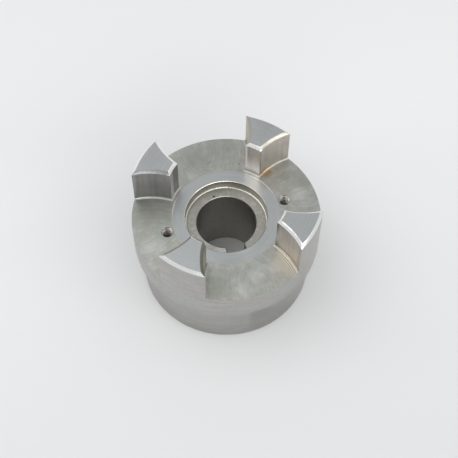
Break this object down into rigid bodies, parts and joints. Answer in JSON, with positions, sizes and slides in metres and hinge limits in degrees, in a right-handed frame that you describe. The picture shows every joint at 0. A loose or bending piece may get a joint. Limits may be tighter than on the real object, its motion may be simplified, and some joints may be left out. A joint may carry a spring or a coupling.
{
  "type": "jaw coupling hub",
  "caption": "Steel half of a jaw coupling: driving jaws with hollow flanks around a recessed keyed bore sleeve, with tapped puller holes and a radial set screw.",
  "frame": {"origin": "centre of the back face, on the bore axis", "axes": "+Z along the bore towards the jaws, +X through the centre of a pocket with a puller hole, keyway towards -Y, set screw towards -X"},
  "size_m": [0.1, 0.1, 0.074],
  "materials": {
    "hub_steel": "bare turned and milled steel, satin",
    "sleeve_steel": "bare machined steel, slightly coarse end face",
    "screw_steel": "black oxide alloy steel"
  },
  "bodies": {
    "hub": {"jaw_hub": "hub_steel", "bore_sleeve": "sleeve_steel"},
    "set_screw": {"set_screw": "screw_steel"}
  },
  "joints": [
    {"name": "set_screw_travel", "type": "slide", "parent": "hub", "child": "set_screw", "axis": [-1, 0, 0], "range_m": [0, 0.00875]}
  ]
}
